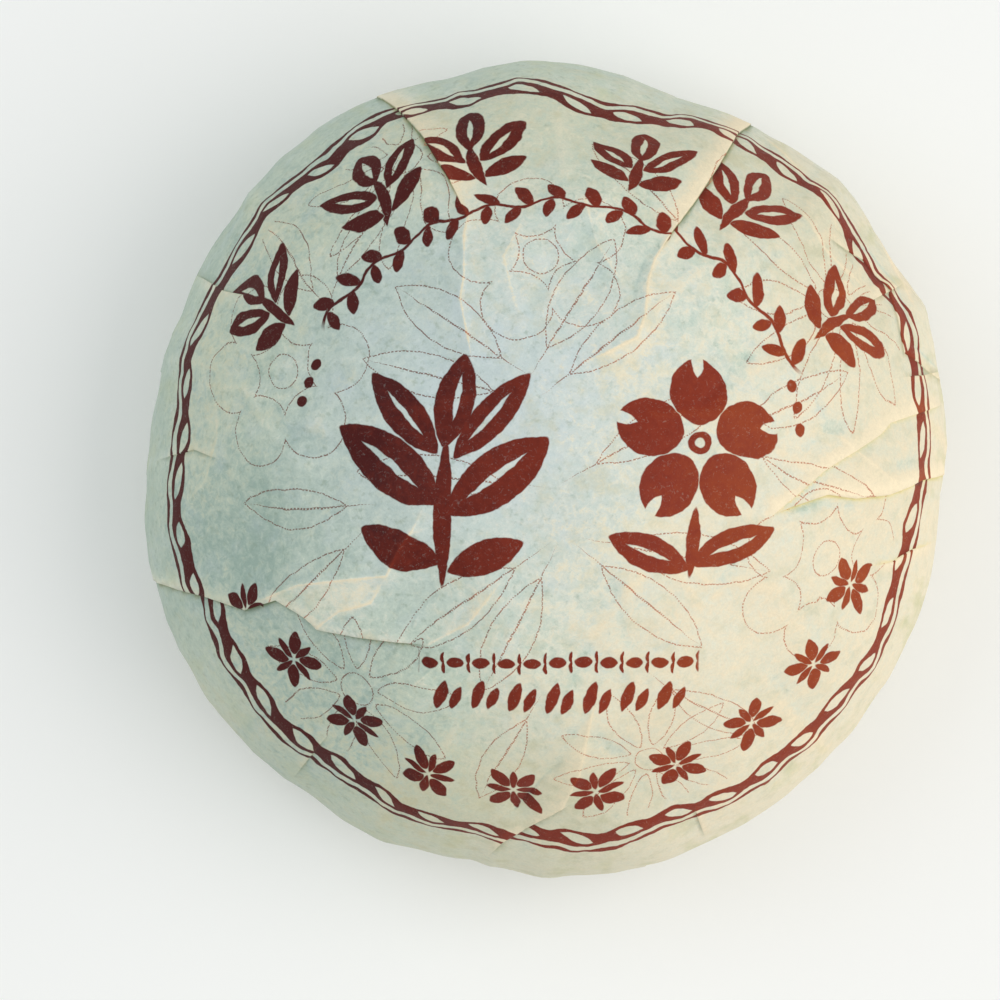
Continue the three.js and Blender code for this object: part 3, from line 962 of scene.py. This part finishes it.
def seed_rows(finish, sheet):
    """Two short rows of seeds and buds below the middle."""
    across, outward, inside = sheet.row(-17.2, -26.2, 3.4, 11)
    seeds = leaves(finish.vector(across, abs(outward)), [
        (-1.5, 0, 1.0, 0, 1.6), (1.6, -0.2, 1.6, 1.6, 0.8),
    ], 0.3)
    rows = seeds.most(inside)
    across, outward, inside = sheet.row(-16.2, -31.2, 5.05, 7)
    buds = leaves(finish.vector(across, outward), [
        (-1.7, -2.2, -0.1, 2.4, 1.7), (0.3, -2.2, 1.9, 1.4, 1.4),
    ], 0.5)
    return rows.least(buds.most(inside))


def tea_sprig(sheet):
    """The bold sprig left of the middle: a stem, a bud and its leaves."""
    place = sheet.place
    sprig = leaves(place, [
        (-14.0, -16.6, -13.2, 4.0, 2.4), (-13.6, 2.2, -10.6, 14.8, 5.2),
        (-13.6, -4.8, -27.6, 5.6, 7.0), (-13.2, -6.4, 0.2, 3.6, 7.0),
        (-14.2, 1.4, -23.2, 12.4, 5.0), (-12.4, 0.8, -2.2, 12.0, 4.6),
        (-14.0, -12.8, -24.6, -7.2, 4.6), (-13.4, -14.0, -3.0, -9.8, 4.4),
    ])
    ribs = leaves(place, [
        (-17.0, -2.4, -24.4, 3.5, 0.9), (-10.4, -4.1, -2.9, 1.6, 0.9), (-12.4, 6.0, -11.2, 11.8, 0.8),
        (-16.4, 4.2, -20.9, 9.7, 0.7), (-10.2, 3.4, -4.9, 9.3, 0.7),
    ], 0)
    return sprig.most(0 - ribs)


def tea_blossom(finish, sheet):
    """The bold blossom right of the middle, on a short stalk with two leaves."""
    place, radius = petal_wheel(finish, sheet.place, (19.6, 3.0), 5, 90)
    petals = leaf(place, (2.2, 0), (11.4, 0), 7.6, BLUNT)
    notch = leaf(place, (8.6, 0), (13.0, 0), 1.6)
    heart = abs(radius - 1.1) - 0.45
    stalk = leaves(sheet.place, [
        (19.4, -5.0, 18.4, -15.0, 1.9), (18.4, -13.0, 30.2, -8.2, 4.6), (18.6, -13.6, 7.4, -9.0, 4.6),
    ])
    ribs = leaves(sheet.place, [(21.4, -11.7, 27.4, -9.3, 0.7), (15.6, -12.3, 10.0, -10.0, 0.7)], 0)
    return petals.most(0 - notch).least(heart).least(stalk.most(0 - ribs))


# Fine drawing behind the bold print. Round blossoms: middle, petals, turn, distance of the
# petals and their size. Pointed ones: middle, petals, turn, start and end of a petal, width.
ROUND_BLOSSOMS = [
    ((-37, 13), 6, 10, 8.8, 4.7), ((39, -15), 7, 0, 9.4, 4.3), ((-1, 28), 5, 30, 7.6, 4.7),
]
POINTED_BLOSSOMS = [
    ((41, 22), 11, 12, 3.2, 16.5, 3.6), ((-27, -33), 9, 5, 3.0, 15.0, 4.2),
    ((-24, 41), 9, 0, 3.0, 14.5, 3.8), ((14, -43), 10, 8, 2.8, 14.0, 3.4),
]
DRAWING_AXIS = math.radians(12)
# Leaves drawn on both sides of a slanting line through the middle of the sheet
DRAWN_LEAVES = [
    (3, 15, 15, 28, 6.5), (5, 11, 21, 19, 5.5), (6, -1, 25, 5, 5.5), (4, -14, 15, -28, 6),
    (7, -12, 26, -20, 6.5), (28, -4, 44, -13, 5.5), (27, 1, 43, 4, 5), (23, 31, 15, 47, 5.5),
    (27, 30, 37, 43, 5.5), (10, -33, 21, -46, 5),
]
LINE_CORE = 0.05
LINE_EDGE = 0.12


def fine_drawing(finish, sheet):
    """Thin outlines of blossoms and leaves: how far a place lies from the nearest line."""
    lines = None
    for middle, petals, turn, reach, size in ROUND_BLOSSOMS:
        place, radius = petal_wheel(finish, sheet.place, middle, petals, turn)
        flower = abs(dot(place, (reach, 0), size)).least(abs(radius - 2.4))
        lines = flower if lines is None else lines.least(flower)
    for middle, petals, turn, start, end, width in POINTED_BLOSSOMS:
        place, radius = petal_wheel(finish, sheet.place, middle, petals, turn)
        petal = leaf(place, (start, 0), (end, 0), width, BLUNT)
        lines = lines.least(abs(petal)).least(abs(radius - start + 0.6))
    cosine, sine = math.cos(DRAWING_AXIS), math.sin(DRAWING_AXIS)
    across = abs(sheet.x * cosine + sheet.y * sine)
    mirrored = finish.vector(across, sheet.y * cosine - sheet.x * sine)
    for bx, by, tx, ty, width in DRAWN_LEAVES:
        outline = leaf(mirrored, (bx, by), (tx, ty), width)
        rib = leaf(mirrored, (bx, by), (bx + 0.72 * (tx - bx), by + 0.72 * (ty - by)), 0.1)
        lines = lines.least(abs(outline)).least(rib)
    return lines


DOT_SCREEN = 12.5


def dotted(sheet):
    """The broken run of the fine lines: 1 where they are inked."""
    one = ((sheet.x + sheet.y) * DOT_SCREEN).math("SINE")
    other = ((sheet.x - sheet.y) * DOT_SCREEN).math("SINE")
    return one + other > -0.55


# ---------------------------------------------------------------- the paper

CONTACT_PAPER = colour(156, 176, 166)
CLINGING_PAPER = colour(196, 208, 194)
MIDDLE_PAPER = colour(222, 222, 205)
SLACK_PAPER = colour(236, 222, 194)
HIGHLIGHT_PAPER = colour(248, 231, 200)
BLUISH_PAPER_AND_SHEEN = colour(203, 214, 221)
OLIVE_MOTTLE_AND_RIM_SHADE = colour(200, 197, 168)
TEA_MARKS = colour(146, 162, 146)
STREAK_OLIVE = colour(190, 192, 142)
# Painted shadow at the foot of a fold's edge: greenish, yellow on the lit side, and darker on the ink
FOLD_SHADOW_GREEN = colour(96, 110, 60)
FOLD_SHADOW_YELLOW = colour(222, 206, 134)
FOLD_SHADOW_INK = colour(62, 30, 18)
# Ink from dark to light; the dark end is also painted shade and the light end painted light
CLINGING_AND_SHADED_INK = colour(72, 20, 18)
MIDDLE_INK = colour(132, 48, 30)
SLACK_AND_LIT_INK = colour(176, 84, 34)
CLINGING_LINE = colour(112, 74, 64)
SLACK_LINE = colour(188, 120, 92)


# Cloudiness in the paper: how fine it is, its detail, roughness and distortion
BLOTCHES = (130, 4, 0.65)
SHREDS = (800, 4, 0.75, 0.6)
FIBRES = (1700, 3, 0.75, 1.5)
BLUISH_PATCHES = (240, 4, 0.6)
LEAF_FLECKS = (950, 3, 0.6)
OLIVE_PATCHES = (330, 3, 0.6)
FLANK_STREAKS = (210, 3, 0.6)
PAPER_GRAIN = (1100, 3, 0.7)
LEAF_BUMPS = (420, 3, 0.55, 1.2)
STREAK_STRETCH = (1, 1, 0.2)


def paper_colour(finish, slack, place, sheet):
    """The thin paper: grey-green and blotchy where it clings to the dark tea, and creamy where it has come
    away from it. It also gets a painted blue-tinted sheen on the crown, a painted highlight where the
    slack runs highest, and painted shade round the rim."""
    paper = finish.blend(finish.spread(slack, -0.45, 0.25), CONTACT_PAPER, CLINGING_PAPER)
    paper = finish.blend(finish.spread(slack, 0.25, 0.6), paper, MIDDLE_PAPER)
    bluish_patches_and_sheen = finish.spread(finish.noise(place, *BLUISH_PATCHES), 0.5, 0.68, 0, 0.18)
    # Painted sheen on the crown, as a bluish tint
    bluish_patches_and_sheen = bluish_patches_and_sheen + finish.spread(sheet.place.distance((-7, 8)), 34, 6, 0, 0.6)
    paper = finish.blend(bluish_patches_and_sheen * finish.spread(slack, 0.8, 0.5), paper, BLUISH_PAPER_AND_SHEEN)
    marks = finish.spread(finish.noise(place, *LEAF_FLECKS), 0.56, 0.72, 0, 0.5)
    paper = finish.blend(marks * finish.spread(slack, 0.9, 0.2), paper, TEA_MARKS)
    paper = finish.blend(finish.spread(slack, 0.55, 1.0), paper, SLACK_PAPER)
    # Painted highlight: the palest cream where the slack runs past 1, mostly along standing creases
    paper = finish.blend(finish.spread(slack, 1.0, 1.5), paper, HIGHLIGHT_PAPER)
    # Painted shade round the rim, in olive: weaker towards the lower right, and stronger along the bottom
    on_rim = finish.spread(sheet.radius, 34, 50, 0, 0.45) * finish.spread(sheet.radius, 66, 56, 0.2, 1)
    on_rim = on_rim * finish.spread(sheet.x - sheet.y, 10, 70, 1, 0.3)
    on_rim = on_rim + finish.spread(sheet.y, -24, -44, 0, 0.35) * finish.spread(sheet.x, 22, 4)
    olive_and_rim_shade = finish.spread(finish.noise(place, *OLIVE_PATCHES), 0.5, 0.7, 0, 0.4) + on_rim
    olive_and_rim_shade = olive_and_rim_shade * finish.spread(slack, -0.2, 0.4) * finish.spread(slack, 0.7, 1.1, 1, 0.4)
    paper = finish.blend(olive_and_rim_shade, paper, OLIVE_MOTTLE_AND_RIM_SHADE)
    upright = finish.node("ShaderNodeMapping", inputs={"Vector": place, "Scale": STREAK_STRETCH})
    streaks = finish.spread(finish.noise(upright, *FLANK_STREAKS), 0.52, 0.7, 0, 0.5)
    streaks = streaks * finish.spread(sheet.radius, 56, 64) * finish.spread(sheet.radius, 84, 104, 1, 0.35)
    streaks = streaks * finish.spread(sheet.x, -10, 40, 0.4, 1)
    return finish.blend(streaks, paper, STREAK_OLIVE)


def printed_paper():
    finish = Finish("printed_wrapper_paper")
    sheet = Sheet(finish)
    bold = chain_border(finish, sheet)
    bold = bold.least(sprig_arc(finish, sheet))
    bold = bold.least(garland_arc(finish, sheet))
    bold = bold.least(floret_arc(finish, sheet))
    bold = bold.least(seed_rows(finish, sheet))
    bold = bold.least(tea_sprig(sheet))
    bold = bold.least(tea_blossom(finish, sheet))
    bold_ink = inked(finish, bold)
    drawing = fine_drawing(finish, sheet)
    lines = finish.spread(drawing, LINE_CORE, LINE_EDGE, 1, 0)
    line_ink = lines * dotted(sheet) * (sheet.radius < BORDER_RADIUS - 3.5) * 0.85

    place = finish.node("ShaderNodeTexCoord", output="Object")
    blotch = finish.noise(place, *BLOTCHES)
    shreds = finish.noise(place, *SHREDS)
    fibre = finish.noise(place, *FIBRES)
    # The slack attribute holds the paper's lift together with painted light and shade
    lift_and_painted_light = finish.attribute("slack")
    patchy = finish.spread(lift_and_painted_light, 0.0, 0.8, 1.5, 0.85) * finish.spread(sheet.radius, 58, 66, 1, 0.5)
    slack = lift_and_painted_light + ((blotch - 0.5) * 0.6 + (shreds - 0.5) * 1.15) * patchy
    paper = paper_colour(finish, slack, place, sheet)
    speckle = finish.spread(fibre, 0.3, 0.7, 0.92, 1.04)
    grey = finish.node("ShaderNodeCombineColor", inputs={0: speckle, 1: speckle, 2: speckle})
    paper = finish.blend(1.0, paper, grey, "MULTIPLY")
    # Painted shadow along the foot of each fold's edge, over the paper and over the ink
    painted_fold_shadow = finish.attribute("painted_fold_shadow")
    lit_side = finish.spread(sheet.x, 24, 32) * finish.spread(sheet.y, 16, 8)
    shade = finish.blend(lit_side, FOLD_SHADOW_GREEN, FOLD_SHADOW_YELLOW)
    paper = finish.blend(painted_fold_shadow * 0.85, paper, shade)
    # Ink lightness: darker where the paper clings and lighter where it stands clear, and also painted
    # lighter towards the right and the bottom, where the key light falls, with painted shade round the rim
    ink_lift_and_painted_light = slack * 0.25 + sheet.x * 0.0068 - sheet.y * 0.0014 + 0.195
    ink_lift_and_painted_light = ink_lift_and_painted_light - finish.spread(sheet.radius, 36, 48, 0, 0.1)
    ink_lift_and_painted_light = ink_lift_and_painted_light - finish.spread(sheet.radius, 48, 58) * finish.spread(sheet.x, 10, 50, 0, 0.2)
    ink = finish.blend(finish.spread(ink_lift_and_painted_light, 0.0, 0.45), CLINGING_AND_SHADED_INK, MIDDLE_INK)
    ink = finish.blend(finish.spread(ink_lift_and_painted_light, 0.45, 0.9), ink, SLACK_AND_LIT_INK)
    ink = finish.blend(painted_fold_shadow * 0.7, ink, FOLD_SHADOW_INK)
    cover = finish.spread(fibre, 0.28, 0.42, 0.82, 1.0)
    line = finish.blend(finish.spread(slack, 0.2, 0.8), CLINGING_LINE, SLACK_LINE)
    shown = finish.blend(line_ink, paper, line)
    shown = finish.blend(bold_ink * cover, shown, ink)

    grain = finish.noise(place, *PAPER_GRAIN)
    leaf_marks = finish.noise(place, *LEAF_BUMPS)
    height = grain * 0.35 + leaf_marks * 0.65
    bump = finish.node("ShaderNodeBump", inputs={"Strength": 0.3, "Distance": 0.0004, "Height": height})
    shader = finish.shader.inputs
    finish.feed(shader["Base Color"], shown)
    finish.feed(shader["Roughness"], 0.78 - bold_ink * 0.28)
    finish.feed(shader["Normal"], bump)
    shader["Specular IOR Level"].default_value = 0.13
    return finish.material


def pale_floor():
    finish = Finish("pale_floor")
    place = finish.node("ShaderNodeTexCoord", output="Object")
    tone = finish.spread(finish.noise(place, 6, 2), 0.3, 0.7)
    shades = ((0.9, 0.9, 0.9, 1), (0.93, 0.93, 0.93, 1))
    finish.feed(finish.shader.inputs["Base Color"], finish.blend(tone, *shades))
    finish.shader.inputs["Roughness"].default_value = 0.9
    finish.shader.inputs["Specular IOR Level"].default_value = 0.1
    return finish.material


# ---------------------------------------------------------------- floor, light and camera

FLOOR_SIZE = 6.0
CAMERA_HEIGHT = 0.65
CAMERA_LENS = 167.7
CAMERA_ASIDE = (-0.0062, -0.0042)


def lay_floor():
    bm = bmesh.new()
    bmesh.ops.create_grid(bm, x_segments=1, y_segments=1, size=FLOOR_SIZE / 2)
    mesh = bpy.data.meshes.new("floor")
    bm.to_mesh(mesh)
    bm.free()
    floor = bpy.data.objects.new("floor", mesh)
    floor.data.materials.append(pale_floor())
    bpy.context.scene.collection.objects.link(floor)


def hang_light(name, place, size, power, tint):
    light = bpy.data.lights.new(name, "AREA")
    light.size = size
    light.energy = power
    light.color = tint
    lamp = bpy.data.objects.new(name, light)
    lamp.location = place
    lamp.rotation_euler = (-Vector(place)).to_track_quat("-Z", "Y").to_euler()
    bpy.context.scene.collection.objects.link(lamp)


def light_studio():
    hang_light("key_light", (0.68, -0.10, 0.62), 1.0, 4.7, (1.0, 0.975, 0.92))
    hang_light("fill_light", (-0.70, 0.35, 0.75), 0.9, 2.4, (0.90, 0.98, 1.0))
    world = bpy.data.worlds.new("studio_air")
    world.use_nodes = True
    air = world.node_tree.nodes["Background"].inputs
    air["Color"].default_value = (0.98, 1.0, 0.99, 1)
    air["Strength"].default_value = 0.64
    bpy.context.scene.world = world


def set_camera():
    camera = bpy.data.objects.new("camera", bpy.data.cameras.new("camera"))
    camera.data.lens = CAMERA_LENS
    camera.location = (*CAMERA_ASIDE, CAMERA_HEIGHT)
    bpy.context.scene.collection.objects.link(camera)
    bpy.context.scene.camera = camera
    bpy.context.scene.view_settings.view_transform = "Standard"


set_camera()
light_studio()
lay_floor()

wrapper = make_wrapper()
wrapper.data.materials.append(printed_paper())
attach(wrapper, "root")
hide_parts(CAKE)
